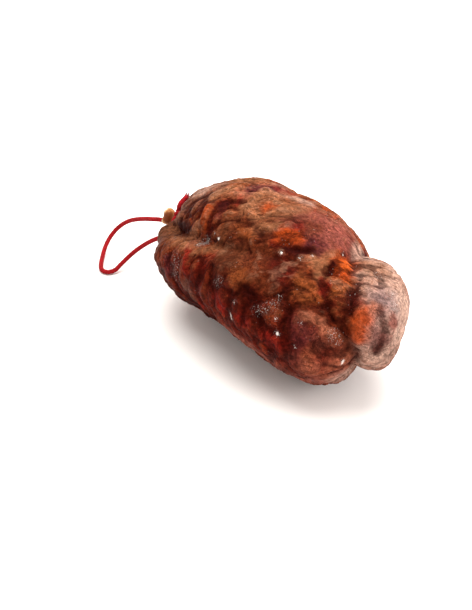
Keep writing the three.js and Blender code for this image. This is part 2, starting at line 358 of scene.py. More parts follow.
LUMP_RADIUS = (7, 14)
LUMP_HEIGHT = (-1.2, 1.6)
LUMP_TURN = 137.5
LUMP_REACH = 0.94
LENGTH_STEPS = 290
GIRTH_STEPS = 340


def plain_points(swing, angle):
    x = HALF_LENGTH * np.sin(swing)
    r = np.maximum(np.cos(swing), 0) ** FULLNESS
    width, height, y, z = (hermite(GIRTH[:, 0], GIRTH[:, k], x) for k in (1, 2, 3, 4))
    return np.stack([x, y - width * r * np.cos(angle), z + height * r * np.sin(angle)], axis=-1)


def place_on_body(x, degrees):
    swing = np.arcsin(np.clip(np.asarray(x, float) / HALF_LENGTH, -1, 1))
    return plain_points(swing, np.radians(degrees))


def plain_normals(swing, angle):
    step, end = 1e-3, math.pi / 2 - 1e-4
    swing = np.clip(swing, -end, end)
    ahead, behind = np.minimum(swing + step, end), np.maximum(swing - step, -end)
    along = plain_points(ahead, angle) - plain_points(behind, angle)
    normal = np.cross(along, plain_points(swing, angle + step) - plain_points(swing, angle - step))
    return normal / np.maximum(np.linalg.norm(normal, axis=-1, keepdims=True), 1e-12)


def path_points(path):
    path = np.asarray(path, float)
    way = np.concatenate([[0], np.cumsum(np.hypot(np.diff(path[:, 0]), DEGREE * np.diff(path[:, 1])))])
    share = np.linspace(0, 1, CREASE_STEPS + 1)
    places = hermite(way, path, share * way[-1])
    return place_on_body(places[:, 0], places[:, 1]), share


def distance_to_path(points, path):
    """Distance of each point to the path, and how far along the path the nearest place is."""
    line, share = path_points(path)
    nearest = np.full(len(points), np.inf)
    at = np.zeros(len(points))
    for q, s in zip(line, share):
        d = np.linalg.norm(points - q, axis=1)
        closer = d < nearest
        nearest[closer], at[closer] = d[closer], s
    return nearest, at


def near(points, place, radius):
    """1 at the place, falling off smoothly over the radius."""
    return np.exp(-((points - place_on_body(*place)) ** 2).sum(1) / radius ** 2)


def small_lumps():
    def draw(i, low, high):
        wave = math.sin(i * 12.9898) * 43758.5453
        return low + (high - low) * (wave - math.floor(wave))
    for i in range(LUMPS):
        x = HALF_LENGTH * LUMP_REACH * (2 * (i + 0.5) / LUMPS - 1)
        yield (x, i * LUMP_TURN), draw(2 * i + 1, *LUMP_RADIUS), draw(2 * i + 2, *LUMP_HEIGHT)


# Finer folds of the casing on the side that is seen: path, depth, width. A depth below 0 is a ridge.
FOLDS = [
    # upper lobe, near the tie
    ([(-53, 75), (-52, 63), (-51, 52)], 1.0, 1.5),
    ([(-57, 73), (-60, 63), (-59, 52)], 1.1, 1.5),
    ([(-61, 69), (-65, 60), (-64, 49)], 0.9, 1.4),
    ([(-48, 68), (-44, 57), (-42, 48)], 0.8, 1.5),
    ([(-43, 67), (-40, 58), (-37, 49)], -1.3, 2.2),
    ([(-37, 68), (-35, 60), (-33, 54), (-31, 49)], 1.2, 1.8),
    ([(-31, 71), (-30, 65), (-28, 59), (-26, 53)], 0.8, 1.7),
    # the top
    ([(-44, 67), (-36, 71), (-31, 75), (-24, 78)], 1.3, 1.6),
    ([(-39, 69), (-38, 74), (-35, 79), (-30, 83)], -0.9, 1.5),
    ([(-47, 76), (-43, 80), (-39, 85), (-34, 90)], -0.9, 1.6),
    ([(-20, 96), (-20, 87), (-19, 81), (-17, 74)], -1.2, 2.2),
    ([(-25, 94), (-25, 86), (-23, 79)], 0.8, 1.8),
    ([(-7, 77), (-2, 81), (3, 86), (8, 90)], 1.3, 1.5),
    ([(-12, 73), (-6, 76), (-4, 81), (-1, 86), (4, 91)], -1.0, 1.6),
    ([(-2, 68), (5, 71), (6, 77), (8, 82)], 1.3, 1.6),
    ([(1, 71), (5, 74), (8, 80), (11, 86)], -1.1, 1.5),
    ([(-9, 87), (0, 91), (5, 98), (9, 101)], -1.0, 1.8),
    ([(-10, 67), (-3, 66), (4, 66)], 0.8, 1.6),
    ([(8, 88), (15, 87), (22, 84)], 1.0, 2.0),
    ([(32, 82), (28, 76), (23, 73), (17, 71)], 1.3, 2.0),
    # the middle
    ([(-4, 61), (-1, 57), (3, 54), (8, 51)], 0.9, 1.2),
    ([(-2, 61), (2, 57), (7, 52)], -0.9, 1.0),
    ([(8, 56), (15, 50), (20, 44)], -0.8, 1.5),
    ([(20, 67), (23, 63), (28, 60)], -1.2, 1.2),
    ([(40, 52), (44, 52), (48, 54), (54, 51)], 1.1, 1.6),
    ([(38, 47), (41, 37), (45, 33), (49, 23), (49, 12), (51, 2)], 1.8, 2.0),
    ([(48, 78), (51, 67), (57, 58), (62, 48), (67, 39)], 1.8, 1.8),
    ([(59, 100), (65, 85), (69, 70), (71, 56), (71, 41)], 1.2, 1.8),
    ([(41, 106), (42, 97), (46, 88), (50, 81)], 1.8, 1.6),
    ([(55, 92), (54, 102), (51, 109)], 1.2, 1.4),
    ([(38, 73), (40, 83), (42, 93), (42, 101)], -1.0, 1.6),
    ([(42, 72), (44, 80), (45, 87)], -0.8, 1.2),
    ([(54, 34), (59, 35), (64, 31), (70, 23)], -1.4, 2.4),
    # the lobe under the slit and the front
    ([(-43, 39), (-40, 33), (-39, 27), (-35, 20), (-33, 14)], -1.1, 1.8),
    ([(-33, 29), (-29, 34), (-24, 38), (-19, 40), (-13, 41)], -1.0, 1.8),
    ([(-31, 28), (-30, 21), (-29, 13), (-32, 3), (-36, -15)], 1.3, 1.6),
    ([(-22, 26), (-20, 19), (-20, 10), (-22, -3), (-29, -26)], 1.4, 1.8),
    ([(-13, 28), (-11, 21), (-11, 10), (-11, -4), (-14, -22)], 1.2, 1.7),
    ([(-14, 15), (-15, 3), (-15, -9), (-17, -24)], -0.9, 1.6),
    ([(-5, 22), (-2, 14), (1, 8), (9, 5)], 1.1, 1.6),
    ([(-51, 17), (-52, 10), (-50, 3), (-45, -6)], 1.0, 1.8),
    ([(8, 23), (9, 14), (15, 10), (24, 6)], 1.1, 1.6),
    ([(15, 29), (23, 27), (27, 21), (33, 15), (40, 12)], 1.4, 1.8),
    ([(28, -2), (36, -6), (45, -6)], 0.8, 1.6),
    # the blind end
    ([(88, -20), (89, 20), (88, 49), (86, 71), (81, 80)], 0.9, 2.0),
    ([(76, 68), (77, 52), (80, 34), (82, 12)], -1.3, 2.2),
    ([(64, 11), (69, 4), (73, -4), (77, -16)], 1.1, 1.8),
    ([(56, 118), (64, 112), (71, 104)], 0.7, 1.8),
]
FOLD_ROUNDING = 0.5
FOLD_REACH = 4.5  # widths from its path, where a fold has faded out
# Folds on the far side and below: how many, and the ranges that their numbers are drawn from.
HIDDEN_FOLDS = 34
HIDDEN_X, HIDDEN_ANGLES = (-74, 78), (128, 330)
HIDDEN_STEP = (-4, 4), (7, 13)
HIDDEN_DEPTH, HIDDEN_WIDTH = (0.8, 1.5), (1.4, 2.3)


def noise_at(points, scale, offset=0.0):
    """Smooth noise from about -1 to 1. scale is the size of its blobs, one number or one for each axis."""
    return np.array([noise.noise(Vector(p)) for p in (points / np.asarray(scale, float) + offset).tolist()])


def body_grid():
    """Swing and angle of each vertex: the tied end's point, rows of rings, the blind end's point."""
    swing = (np.arange(1, LENGTH_STEPS) / LENGTH_STEPS - 0.5) * math.pi
    swing, angle = (g.ravel() for g in np.meshgrid(swing, round_angles(GIRTH_STEPS), indexing="ij"))
    return np.r_[-math.pi / 2, swing, math.pi / 2], np.r_[0.0, angle, 0.0]


def body_faces():
    def at(i, j):
        return 1 + (i - 1) * GIRTH_STEPS + j % GIRTH_STEPS
    end = 1 + (LENGTH_STEPS - 1) * GIRTH_STEPS
    faces = [(0, at(1, j), at(1, j + 1)) for j in range(GIRTH_STEPS)]
    for i in range(1, LENGTH_STEPS - 1):
        faces += [(at(i, j), at(i + 1, j), at(i + 1, j + 1), at(i, j + 1)) for j in range(GIRTH_STEPS)]
    faces += [(end, at(LENGTH_STEPS - 1, j + 1), at(LENGTH_STEPS - 1, j)) for j in range(GIRTH_STEPS)]
    return faces


def groove(points, path, rounding, width, first=1.0, last=1.0):
    away, at = distance_to_path(points, path)
    away = np.hypot(away, rounding) - rounding
    return (first + (last - first) * at) * np.exp(-away / width)


def large_relief(points):
    """Swellings, lumps and creases: how far the skin stands off the loaf, and the creases' part of it."""
    height = np.zeros(len(points))
    for place, radius, up in [*SWELLINGS, *small_lumps()]:
        height += up * near(points, place, radius)
    crease = np.zeros(len(points))
    for path, depth, width, first, last in CREASES:
        crease += depth * groove(points, path, CREASE_ROUNDING, width, first, last)
    return height - crease, crease


def hidden_folds():
    draw = np.random.default_rng(7)
    for _ in range(HIDDEN_FOLDS):
        x, degrees = draw.uniform(*HIDDEN_X), draw.uniform(*HIDDEN_ANGLES)
        path = [(x, degrees)]
        for _ in range(3):
            x, degrees = x + draw.uniform(*HIDDEN_STEP[0]), degrees + draw.uniform(*HIDDEN_STEP[1])
            path.append((x, degrees))
        yield path, draw.choice([-1, 1, 1]) * draw.uniform(*HIDDEN_DEPTH), draw.uniform(*HIDDEN_WIDTH)


def fine_folds(points):
    height = np.zeros(len(points))
    for path, depth, width in [*FOLDS, *hidden_folds()]:
        close = near_path(points, path, FOLD_REACH * width + 1)
        height[close] -= depth * groove(points[close], path, FOLD_ROUNDING, width)
    return height


def near_path(points, path, reach):
    """Which points lie in the path's box, reach wider on all sides."""
    line = path_points(path)[0] if len(path) > 1 else place_on_body(*path[0])[None]
    return np.all((points > line.min(0) - reach) & (points < line.max(0) + reach), axis=1)


def smooth_step(low, high, value):
    t = np.clip((value - low) / (high - low), 0, 1)
    return t * t * (3 - 2 * t)


# Wrinkles run round the body at the front and back, and slant across its top. In millimetres.
SLANT = math.radians(35)
LUMPY = ((9, 20, 20), 1.5)  # sizes across, along and upward, and height
KNOBBLY = ((4.2, 11, 11), 0.45)
CRINKLE = ((1.7, 5, 5), 0.2)
LINES = ((3.2, 15, 15), 0.5)
LINE_SHARPNESS = 4
BILLOW_STEEPNESS, BILLOW_ROUNDNESS = 2.6, 0.8
STRAY = (1.8, 9.0)  # how far and over what length the wrinkles stray
TAUT_SMOOTHING = 0.72  # share of the wrinkles that a taut bulge lacks
PLEATS = 3.4  # noise cells round the body over two pi
PLEAT_DEPTH, PLEAT_LENGTH, PLEAT_SHARPNESS = 0.9, 30, 3
PLEATS_FROM, PLEATS_TO = -50, -80


def slanted(points):
    """Points turned so that the wrinkles' direction on the top is the second axis."""
    c, s = math.cos(SLANT), math.sin(SLANT)
    x, y, z = points.T
    return np.stack([c * y - s * x, c * x + s * y, z], axis=1)


def billows(points, scale, offset):
    """Rounded lumps with sharp creases between them, 0 in a crease."""
    away = np.abs(noise_at(points, scale, offset)) * BILLOW_STEEPNESS
    return np.minimum(away, 1) ** BILLOW_ROUNDNESS


def wrinkles(points, angle, taut):
    """Fine relief in millimetres, with pleats round the tied end."""
    stray, reach = STRAY
    bent = slanted(points + stray * np.stack([noise_at(points, reach, k * 17.3) for k in range(3)], axis=1))
    height = LUMPY[1] * (billows(bent, LUMPY[0], 3.1) - 0.5)
    height += KNOBBLY[1] * (billows(bent, KNOBBLY[0], 8.7) - 0.5)
    height += CRINKLE[1] * (billows(bent, CRINKLE[0], 21.9) - 0.5)
    away = np.abs(noise_at(bent, LINES[0], 40.3)) * LINE_SHARPNESS
    height += LINES[1] * (1 - np.minimum(away, 1)) ** 2
    height *= 1 - TAUT_SMOOTHING * taut
    cells = [np.cos(angle) * PLEATS, np.sin(angle) * PLEATS, points[:, 0] / PLEAT_LENGTH]
    pleats = np.minimum(np.abs(noise_at(np.stack(cells, axis=1), 1.0, 5.0)) * PLEAT_SHARPNESS, 1)
    return height + PLEAT_DEPTH * (pleats - 0.6) * smooth_step(PLEATS_FROM, PLEATS_TO, points[:, 0])


# Colours under and on the casing, as (red, green, blue), and the places that have them; a few places, marked
# below, are painted shade and painted light from the table.
PALETTE = {
    "tan": (0.19, 0.070, 0.031),
    "beige": (0.40, 0.250, 0.190),
    "orange": (0.27, 0.036, 0.006),
    "flame": (0.40, 0.066, 0.010),
    "amber": (0.185, 0.044, 0.012),
    "red": (0.13, 0.007, 0.004),
    "salmon": (0.25, 0.076, 0.040),
    "pink": (0.165, 0.042, 0.030),
    "rose": (0.22, 0.072, 0.052),
    "purple": (0.070, 0.013, 0.014),
    "slate": (0.11, 0.065, 0.072),
    "ash": (0.120, 0.058, 0.040),
    "brown": (0.085, 0.024, 0.010),
    "dark": (0.024, 0.0020, 0.0010),
    "maroon": (0.062, 0.006, 0.003),
    "russet": (0.072, 0.012, 0.004),
}
PATCHES = [  # colour, path of (x, angle), radius, strength
    # large zones first
    ("ash", [(-78, 66), (-64, 74), (-54, 84)], 11, 0.6),
    ("ash", [(-84, 20), (-80, 6), (-74, -12), (-66, -22)], 12, 0.6),
    ("slate", [(-78, 4), (-72, -12)], 6, 0.45),
    ("brown", [(-4, 42), (10, 49)], 14, 0.65),
    ("brown", [(5, 72), (-17, 58), (-6, 43)], 8, 0.8),
    ("russet", [(15, 46)], 9, 0.6),
    ("russet", [(-10, 60), (2, 62), (9, 66)], 6, 0.75),
    ("brown", [(-72, 20), (-60, 28)], 9, 0.6),
    ("pink", [(22, 96), (34, 108)], 15, 1.0),
    ("pink", [(40, 114)], 7, 0.7),
    ("beige", [(69, 113), (78, 104)], 13, 0.6),
    ("beige", [(84, 131), (87, 150)], 13, 0.9),
    ("beige", [(87, 72), (88, 10)], 9, 0.8),
    ("slate", [(78, 97), (82, 92)], 7, 0.7),
    ("rose", [(84, 74), (88, 62)], 5, 0.5),
    ("purple", [(87, 50), (88, 36), (88, 18)], 6, 0.75),
    ("purple", [(58, 23), (59, 15)], 9, 0.85),
    ("dark", [(-8, 30), (-5, 18), (-9, 6)], 9, 0.5),
    ("dark", [(10, 22), (24, 17)], 10, 0.6),
    ("dark", [(-26, 10), (-26, -10)], 9, 0.45),
    ("maroon", [(-60, -16), (-24, -22), (10, -16), (32, -20), (54, -26)], 14, 0.55),
    ("maroon", [(-40, 4), (-14, 6), (16, 8)], 14, 0.6),
    # painted shade on the underside, over the table
    ("dark", [(-44, -32), (-18, -36), (14, -38)], 9, 0.95),
    # painted light: a pinkish band where light from the table falls on the underside
    ("rose", [(5, -20), (19, -22), (30, -28), (42, -28)], 5, 0.6),
    # painted light from the table on the underside
    ("pink", [(56, -12), (64, -30)], 7, 0.5),
    ("dark", [(46, -28), (54, -25)], 4.5, 0.6),
    # painted light from the table on the underside
    ("rose", [(52, -40), (62, -48)], 6, 0.6),
    ("maroon", [(60, 30), (58, 4), (56, -12)], 9, 0.25),
    ("salmon", [(68, 10), (76, 4)], 6, 0.35),
    ("maroon", [(38, 14), (36, 28)], 7, 0.5),
    ("russet", [(16, 57), (26, 56), (34, 52), (44, 48)], 9, 0.75),
    ("russet", [(30, 64), (38, 62)], 6, 0.6),
    ("russet", [(24, 54), (34, 40)], 9, 0.8),
    ("russet", [(58, 40), (68, 38)], 7, 0.8),
    ("russet", [(52, 74), (60, 82)], 8, 0.6),
    ("russet", [(19, 92), (23, 86)], 7, 0.7),
    ("dark", [(21, 66), (29, 56), (34, 49)], 7, 0.6),
    ("salmon", [(70, -36)], 7, 0.6),
    ("beige", [(70, -58), (73, -70)], 7, 0.6),
    ("beige", [(84, -50), (89, -66)], 7, 0.6),
    ("beige", [(40, 128), (46, 124)], 5, 0.75),
    ("beige", [(60, 130), (54, 106)], 6, 0.8),
    ("beige", [(86, 78)], 5, 0.5),
    # the top and the upper lobe
    ("tan", [(-46, 100), (-40, 104)], 6, 0.9),
    ("beige", [(-22, 108), (-14, 104), (2, 108)], 3.6, 0.5),
    ("beige", [(-68, 82), (-62, 86)], 5, 0.5),
    ("tan", [(-20, 94), (-20, 87), (-19, 81), (-18, 75)], 4, 0.9),
    ("tan", [(-46, 76), (-39, 85)], 3.5, 0.8),
    ("tan", [(-8, 75), (-2, 85), (3, 90)], 3.5, 0.8),
    ("tan", [(1, 71), (7, 80)], 3, 0.8),
    ("tan", [(-7, 89), (4, 98)], 5, 0.7),
    ("tan", [(53, 111), (59, 117)], 6, 0.7),
    ("tan", [(-82, 20), (-76, 30), (-60, 33), (-44, 35)], 5, 0.8),
    ("orange", [(-43, 65), (-40, 58), (-37, 50)], 2.6, 0.85),
    ("orange", [(-8, 85)], 3, 0.8),
    ("salmon", [(-26, 101), (-21, 103), (-15, 107)], 5, 0.9),
    ("salmon", [(-31, 83), (-26, 83)], 4, 0.9),
    ("purple", [(-28, 89), (-25, 95), (-21, 103)], 3.8, 0.9),
    ("red", [(-20, 107), (-17, 112)], 3.4, 0.6),
    ("purple", [(-33, 69), (-30, 63)], 3, 0.6),
    ("red", [(-28, 78), (-25, 77)], 2.4, 0.7),
    ("amber", [(-10, 62), (-4, 61)], 3.5, 0.6),
    ("red", [(16, 70), (20, 72)], 3.4, 0.7),
    ("dark", [(-61, 61), (-48, 56)], 4.5, 0.45),
    ("dark", [(-63, 48)], 4, 0.5),
    # the lobe under the slit and the front
    # painted shade deep in the slit beside the tie
    ("dark", [(-68, 41), (-56, 41)], 4, 1.0),
    ("dark", [(-38, 49), (-29, 48)], 4, 0.55),
    ("dark", [(-14, 52), (-9, 50)], 3, 0.5),
    ("salmon", [(-43, 38), (-40, 31)], 2.6, 0.8),
    ("red", [(-39, 27), (-35, 20), (-33, 14)], 2.6, 0.9),
    ("tan", [(-33, 29), (-25, 38), (-14, 42)], 2.8, 0.65),
    ("purple", [(-53, 12), (-50, 2)], 3, 0.8),
    ("red", [(-20, 11), (-21, -1), (-26, -19)], 2.2, 0.6),
    ("ash", [(-34, 0), (-32, -12)], 4, 0.5),
    ("red", [(-2, 11), (4, 7)], 3.4, 0.9),
    ("amber", [(8, 33), (13, 31)], 4.5, 0.7),
    ("red", [(-16, 36), (-21, 25)], 3.5, 0.5),
    ("dark", [(15, 28), (23, 26)], 4, 0.95),
    ("red", [(19, 9), (23, 8)], 3.6, 0.8),
    ("red", [(38, 2), (47, 5)], 4.5, 0.9),
    ("dark", [(30, 13)], 4, 0.6),
    ("dark", [(43, 32), (48, 23), (49, 10)], 2.6, 0.6),
    # under and around the bulge
    ("purple", [(27, 80), (31, 84)], 5.5, 0.9),
    ("red", [(16, 86), (19, 81)], 3, 0.7),
    ("dark", [(19, 69), (24, 72), (31, 79)], 3, 0.9),
    ("orange", [(14, 74), (17, 76), (21, 79)], 3.7, 1.0),
    ("tan", [(39, 76), (42, 85), (42, 96)], 3, 0.9),
    ("tan", [(36, 78)], 2.6, 0.7),
    # between the bulge and the blind end
    ("amber", [(58, 68), (58, 78)], 4, 0.9),
    ("russet", [(53, 75)], 4, 0.6),
    ("tan", [(44, 77), (48, 70)], 4, 0.9),
    ("amber", [(46, 57), (41, 57), (52, 51)], 3.6, 0.7),
    ("amber", [(45, 47), (49, 45)], 3, 0.5),
    ("maroon", [(24, 58), (32, 53)], 5, 0.85),
    ("dark", [(28, 56)], 3, 0.5),
    ("tan", [(-3, 68)], 3.6, 0.6),
    ("maroon", [(34, 27)], 5, 0.4),
    ("orange", [(47, 100), (51, 88)], 6.5, 1.0),
    ("flame", [(48, 99), (50, 93)], 3.4, 0.9),
    ("dark", [(46, 84), (48, 77)], 2, 1.0),
    ("dark", [(65, 81), (70, 67), (71, 60)], 2.6, 0.85),
    ("red", [(51, 66), (54, 62)], 2.2, 0.8),
    ("dark", [(66, 38), (60, 45)], 3.4, 0.65),
    ("dark", [(71, 44)], 3, 0.7),
    ("salmon", [(54, 34), (60, 33), (68, 26)], 2.0, 0.7),
    ("salmon", [(64, -14), (70, -24)], 6, 0.5),
    ("red", [(70, -10), (72, -34)], 6, 0.45),
    ("salmon", [(75, -24)], 6, 0.65),
    ("amber", [(62, 0)], 4, 0.25),
    # the blind end
    ("orange", [(77, 63), (79, 48), (81, 30)], 4.2, 0.9),
    ("orange", [(76, 50)], 3, 0.5),
    ("pink", [(87, 92)], 3, 0.8),
    ("salmon", [(78, 77)], 3, 0.6),
    ("red", [(71, 75)], 2.4, 0.4),
    ("dark", [(90, 10), (88, 0)], 3, 0.45),
    # the far side and below
    ("orange", [(-20, 150)], 5, 0.8),
    ("orange", [(40, 172)], 6, 0.8),
    ("orange", [(8, -150)], 5, 0.7),
    ("salmon", [(-55, 160), (-48, 168)], 5, 0.7),
    ("pink", [(-12, -168), (2, -160)], 13, 0.8),
    ("tan", [(-8, 132), (6, 150)], 5, 0.7),
    ("tan", [(28, 150), (30, 165)], 4, 0.6),
    ("red", [(-60, -150), (-50, -130)], 7, 0.6),
    ("purple", [(20, -128), (30, -120)], 9, 0.7),
    ("rose", [(60, 168), (64, 190)], 10, 0.7),
    ("dark", [(10, 176), (14, 190)], 7, 0.6),
    ("dark", [(-36, -170), (-30, -150)], 8, 0.5),
    ("amber", [(-40, -120), (-28, -112)], 7, 0.6),
]
CHALK_AND_GLINTS = [  # white bloom and salt, and painted glints: path, radius, strength
    ([(-36, 38), (-31, 43)], 2.4, 0.8),
    ([(-22, 48)], 1.2, 1.0),
    ([(-47, 18), (-43, 14), (-44, 1)], 3.6, 0.45),
    ([(-26, 50)], 1, 0.6),
    ([(-5, 20), (-3, 24)], 2.2, 0.5),
    ([(13, 18)], 1.4, 0.8),
    ([(28, 20), (32, 24), (37, 31)], 2.5, 0.5),
    ([(21, 65)], 1.1, 1.0),
    ([(31, 71)], 1.1, 0.9),
    ([(35, 79)], 1, 0.9),
    ([(41, 105)], 1.2, 0.9),
    ([(75, -27), (76, -21)], 1.1, 0.9),
    ([(55, 5)], 0.9, 0.9),
    ([(44, 11)], 1.4, 1.0),
    ([(41, 22)], 1.1, 0.9),
    ([(37, 38)], 1.3, 0.7),
    ([(54, 27)], 0.9, 0.8),
    ([(11, 7), (12, 3)], 1.2, 0.9),
    ([(70, 24), (73, 14)], 2.4, 0.6),
    ([(63, 115)], 2.6, 0.5),
    ([(77, 117), (82, 107)], 2.4, 0.7),
    ([(-16, -178), (-10, -172)], 4, 0.6),
    ([(52, 152), (58, 160)], 3.5, 0.6),
    ([(-70, -20), (-66, -34)], 3.5, 0.5),
    ([(66, -120), (70, -140)], 4, 0.6),
]
PATCH_STRAY = ((6.0, 2.6), (2.6, 1.1))  # sizes of the unevenness of a patch's edge, and how far it goes
PATCH_EDGE = (0.4025, 1.8975)  # radii from the path between which a patch fades
PATCH_REACH = 2


def patch_on(points, path, radius):
    """1 inside the patch, falling to 0 across its edge."""
    if len(path) == 1:
        away = np.linalg.norm(points - place_on_body(*path[0]), axis=1)
    else:
        away = distance_to_path(points, path)[0]
    return 1 - smooth_step(*PATCH_EDGE, away / radius)


def painted(points):
    """The patches' mixed colour, how much of it there is, and the white bloom with painted glints."""
    uneven = points.copy()
    for size, far in PATCH_STRAY:
        uneven += far * np.stack([noise_at(points, size, 50 + k * 11.7) for k in range(3)], axis=1)
    colour, cover, chalk_and_glints = np.zeros((len(points), 3)), np.zeros(len(points)), np.zeros(len(points))
    for name, path, radius, strength in PATCHES:
        close = near_path(uneven, path, PATCH_REACH * radius + 1)
        amount = strength * patch_on(uneven[close], path, radius)
        kept = cover[close] * (1 - amount)
        total = np.maximum(kept + amount, 1e-6)
        mixed = colour[close] * kept[:, None] + np.array(PALETTE[name]) * amount[:, None]
        colour[close], cover[close] = mixed / total[:, None], kept + amount
    for path, radius, strength in CHALK_AND_GLINTS:
        close = near_path(points, path, PATCH_REACH * radius + 1)
        chalk_and_glints[close] = np.maximum(chalk_and_glints[close], strength * patch_on(points[close], path, radius))
    return colour, cover, chalk_and_glints


# Bulges that fill the casing, so that it is smooth there: place and radius.
TAUT = [((26, 100), 20), ((82, 100), 18), ((86, 20), 14), ((6, 46), 15), ((86, 150), 14)]
# What the fields that the material reads are counted in, in millimetres but for the last.
RAISED_SPAN = 2.4
CREASE_FULL = 9
TOP_FROM, TOP_TO = 0.25, 0.95  # how far the loaf's skin faces up


def taut_at(points):
    return np.clip(sum(near(points, place, radius) for place, radius in TAUT), 0, 1)


def make_body(material):
    swing, angle = body_grid()
    plain, normals = plain_points(swing, angle), plain_normals(swing, angle)
    normals[0], normals[-1] = (-1, 0, 0), (1, 0, 0)
    large, crease = large_relief(plain)
    taut = taut_at(plain)
    fine = wrinkles(plain, angle, taut) + fine_folds(plain)
    points = plain + normals * (large + fine)[:, None]
    points[:, 2] = np.maximum(points[:, 2], 0)
    colour, cover, chalk_and_glints = painted(plain)
    piece = new_mesh("sausage_body", points, body_faces(), material)
    set_colour(piece, "patch", colour, cover)
    # raised: the wrinkles' height, which the material paints lighter on lumps and darker in folds, as
    # painted light and shade
    set_field(piece, "raised", np.clip(0.5 + fine / RAISED_SPAN, 0, 1))
    # crease: depth of the large creases, which the material paints dark as painted shade
    set_field(piece, "crease", np.clip(crease / CREASE_FULL, 0, 1))
    # top: how far the skin faces up, which the material paints lighter as painted light
    set_field(piece, "top", smooth_step(TOP_FROM, TOP_TO, normals[:, 2]))
    # white bloom and salt, with painted glints
    set_field(piece, "chalk_and_glints", chalk_and_glints)
    set_field(piece, "taut", taut)
    return piece


# The casing's gathered neck and its flared free end.

NECK = [  # share of the way along, radius
    (0.22, 7), (0.41, 5.2), (0.52, 3.7), (0.56, 3.2), (0.82, 3.2), (0.87, 4.6), (0.92, 5.5),
    (0.965, 5.6), (1, 4.7), (0.985, 3.5), (0.95, 2.4), (0.91, 1.3), (0.89, 0.5),
]
FLARE = (0.78, 0.95)  # share of the way along over which the free end opens
RIM = (0.93, 0.975)  # share of the way at which the throat turns into the pale rim
HOLLOW_SHADE = (np.array([-95.6, -10.4, 48.4]), 4.2)  # a brown spot of painted shade where the flared end is hollow, and its radius
NECK_SIDES = 120
NECK_STEP = 0.25
NECK_PLEATS = (1.5, 7)  # noise cells round the neck over two pi, and millimetres of neck in a cell
NECK_PLEAT_DEPTH = (0.13, 0.10)  # share of the radius all along, and how much more where it is open
NECK_RAGGEDNESS = 0.9  # millimetres by which the free edge comes and goes


def make_neck(material):
    start, length, along, across, up = neck_axes()
    profile = smooth_route([(share * length, radius, 0) for share, radius in NECK], NECK_STEP)[:, :2]
    far, wide = profile[:, :1], profile[:, 1:]
    cells, cell_length = NECK_PLEATS
    angle = round_angles(NECK_SIDES)[None]
    places = np.broadcast_arrays(np.cos(angle) * cells, np.sin(angle) * cells, far / cell_length)
    pleat = noise_at(np.stack(places, axis=-1).reshape(-1, 3), 1.0, 2.0).reshape(-1, NECK_SIDES)
    open_end = smooth_step(FLARE[0] * length, FLARE[1] * length, far)
    radius = wide * (1 + (NECK_PLEAT_DEPTH[0] + NECK_PLEAT_DEPTH[1] * open_end) * pleat)
    reach = far + open_end * NECK_RAGGEDNESS * pleat
    outward = np.cos(angle)[..., None] * across + np.sin(angle)[..., None] * up
    points = (start + reach[..., None] * along + radius[..., None] * outward).reshape(-1, 3)
    piece = new_mesh("casing_neck", points, tube_faces(len(profile), NECK_SIDES), material)
    inside = np.arange(len(profile)) >= np.argmax(profile[:, 0])
    set_field(piece, "inside", np.repeat(inside, NECK_SIDES))
    set_field(piece, "rim", np.repeat(smooth_step(*RIM, profile[:, 0] / length), NECK_SIDES))
    set_field(piece, "pleat", pleat.ravel())
    set_field(piece, "hollow_shade", np.exp(-((points - HOLLOW_SHADE[0]) ** 2).sum(1) / HOLLOW_SHADE[1] ** 2))
    return piece


# Materials

